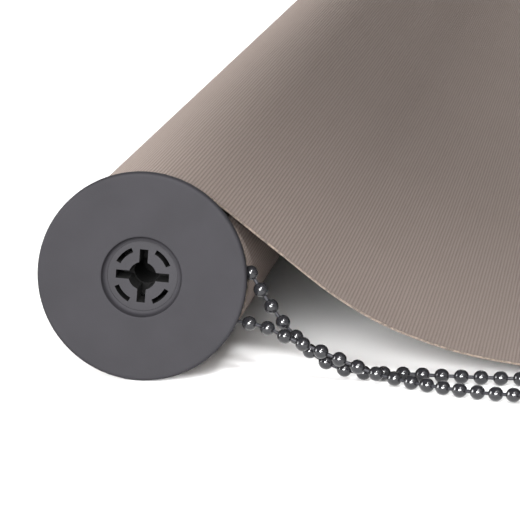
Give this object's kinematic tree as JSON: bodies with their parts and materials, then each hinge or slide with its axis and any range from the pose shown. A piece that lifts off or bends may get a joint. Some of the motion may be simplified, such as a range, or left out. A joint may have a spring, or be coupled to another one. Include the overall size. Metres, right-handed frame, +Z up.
{
  "type": "roller blind",
  "caption": "Roller blind lying down: ribbed fabric wound on a tube between round end flanges, a stretch pulled off to a flat bottom rail, and a bead chain loop.",
  "frame": {"origin": "on the surface the blind lies on, in the middle of its width and of its length, not counting the free chain", "axes": "+Y runs along the roll from the control end to the idle end, +X is the way the fabric leaves the roll, +Z is up"},
  "size_m": [0.4554, 1.2646, 0.064],
  "materials": {
    "control_plastic": "fine matt moulding grain",
    "chain_plastic": "glossy moulded beads",
    "aluminium": "satin anodised",
    "spring_steel": "drawn wire and turned steel",
    "bearing_nylon": "natural nylon",
    "strip_plastic": "plain",
    "blind_fabric": "close ribbed weave"
  },
  "bodies": {
    "control_unit": {"control_flange": "control_plastic", "control_hub": "control_plastic", "chain_guard": "control_plastic", "spindle_clip": "spring_steel", "fabric_turn": "blind_fabric", "fabric_fall": "blind_fabric", "fabric_flat": "blind_fabric", "chain_wrap": "chain_plastic", "chain_upper": "chain_plastic", "chain_lower": "chain_plastic", "chain_tail": "chain_plastic", "chain_connector": "chain_plastic", "chain_coil": "chain_plastic", "chain_tie": "strip_plastic"},
    "chain_drive": {"chain_wheel": "control_plastic", "clutch_spring_1": "spring_steel", "clutch_spring_2": "spring_steel"},
    "roller": {"tube_adapter": "control_plastic", "roller_tube": "aluminium", "fabric_strip": "strip_plastic", "fabric_roll": "blind_fabric", "idle_plug": "control_plastic", "idle_flange": "control_plastic"},
    "idle_bearing": {"idle_bush": "bearing_nylon", "idle_spring": "spring_steel"},
    "idle_pin_body": {"idle_pin": "spring_steel"},
    "bottom_rail_body": {"bottom_rail": "aluminium", "rail_strip": "strip_plastic", "rail_cap_control": "control_plastic", "rail_cap_idle": "control_plastic"}
  },
  "joints": [
    {"name": "roller_turn", "type": "hinge", "parent": "control_unit", "child": "roller", "pos_m": [-0.19565, 0, 0.032], "axis": [0, 1, 0], "range_deg": [-430, 0]},
    {"name": "chain_wheel_turn", "type": "hinge", "parent": "control_unit", "child": "chain_drive", "pos_m": [-0.19565, 0, 0.032], "axis": [0, 1, 0], "range_deg": [-430, 0]},
    {"name": "rail_travel", "type": "slide", "parent": "control_unit", "child": "bottom_rail_body", "axis": [1, 0, 0], "range_m": [-0.2231, 0], "deforming": ["fabric_flat"]},
    {"name": "idle_turn", "type": "hinge", "parent": "roller", "child": "idle_bearing", "pos_m": [-0.19565, 0.59, 0.032], "axis": [0, 1, 0], "continuous": true},
    {"name": "idle_pin_push", "type": "slide", "parent": "idle_bearing", "child": "idle_pin_body", "axis": [0, 1, 0], "range_m": [-0.008, 0], "stiffness_N_per_m": 400, "springref_m": 0.004, "deforming": ["idle_spring"]}
  ],
  "couplings": [
    {"joint": "chain_wheel_turn", "follows": "roller_turn", "ratio": 1},
    {"joint": "rail_travel", "follows": "roller_turn", "m_per_rad": 0.0297}
  ]
}
